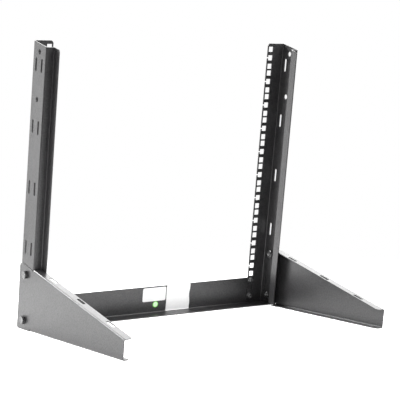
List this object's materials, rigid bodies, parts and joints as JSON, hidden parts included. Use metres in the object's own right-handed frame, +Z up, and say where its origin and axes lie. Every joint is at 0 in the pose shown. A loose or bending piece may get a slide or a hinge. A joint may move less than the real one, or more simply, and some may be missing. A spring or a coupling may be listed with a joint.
{
  "type": "desktop rack",
  "caption": "Open two-post desktop rack for 19-inch equipment: leaning folded-steel posts with square-hole rails, bolted to triangular feet and a cross bar.",
  "frame": {"origin": "on the floor, at the middle of the rack's box", "axes": "+X across the rack, from the left post to the right one as seen from the feet's side; +Y from the near ends of the feet towards the rails' front face; +Z up"},
  "size_m": [0.5376, 0.369, 0.4974],
  "materials": {
    "powder_coat": "fine satin powder coat, near black",
    "black_fastener": "black passivated steel",
    "white_film": "blank matt paper film",
    "green_film": "green round sticker with a pale middle"
  },
  "bodies": {
    "root": {"post_left": "powder_coat", "post_right": "powder_coat", "crossbar": "powder_coat", "foot_left": "powder_coat", "foot_right": "powder_coat", "foot_bolt_left_lower": "black_fastener", "foot_nut_left_lower": "black_fastener", "rail_bolt_left_lower": "black_fastener", "rail_washer_left_lower": "black_fastener", "rail_nut_left_lower": "black_fastener", "foot_bolt_left_upper": "black_fastener", "foot_nut_left_upper": "black_fastener", "rail_bolt_left_upper": "black_fastener", "rail_washer_left_upper": "black_fastener", "rail_nut_left_upper": "black_fastener", "foot_bolt_right_lower": "black_fastener", "foot_nut_right_lower": "black_fastener", "rail_bolt_right_lower": "black_fastener", "rail_washer_right_lower": "black_fastener", "rail_nut_right_lower": "black_fastener", "foot_bolt_right_upper": "black_fastener", "foot_nut_right_upper": "black_fastener", "rail_bolt_right_upper": "black_fastener", "rail_washer_right_upper": "black_fastener", "rail_nut_right_upper": "black_fastener", "label_small": "white_film", "label_tall": "white_film", "label_round": "green_film"}
  },
  "joints": []
}
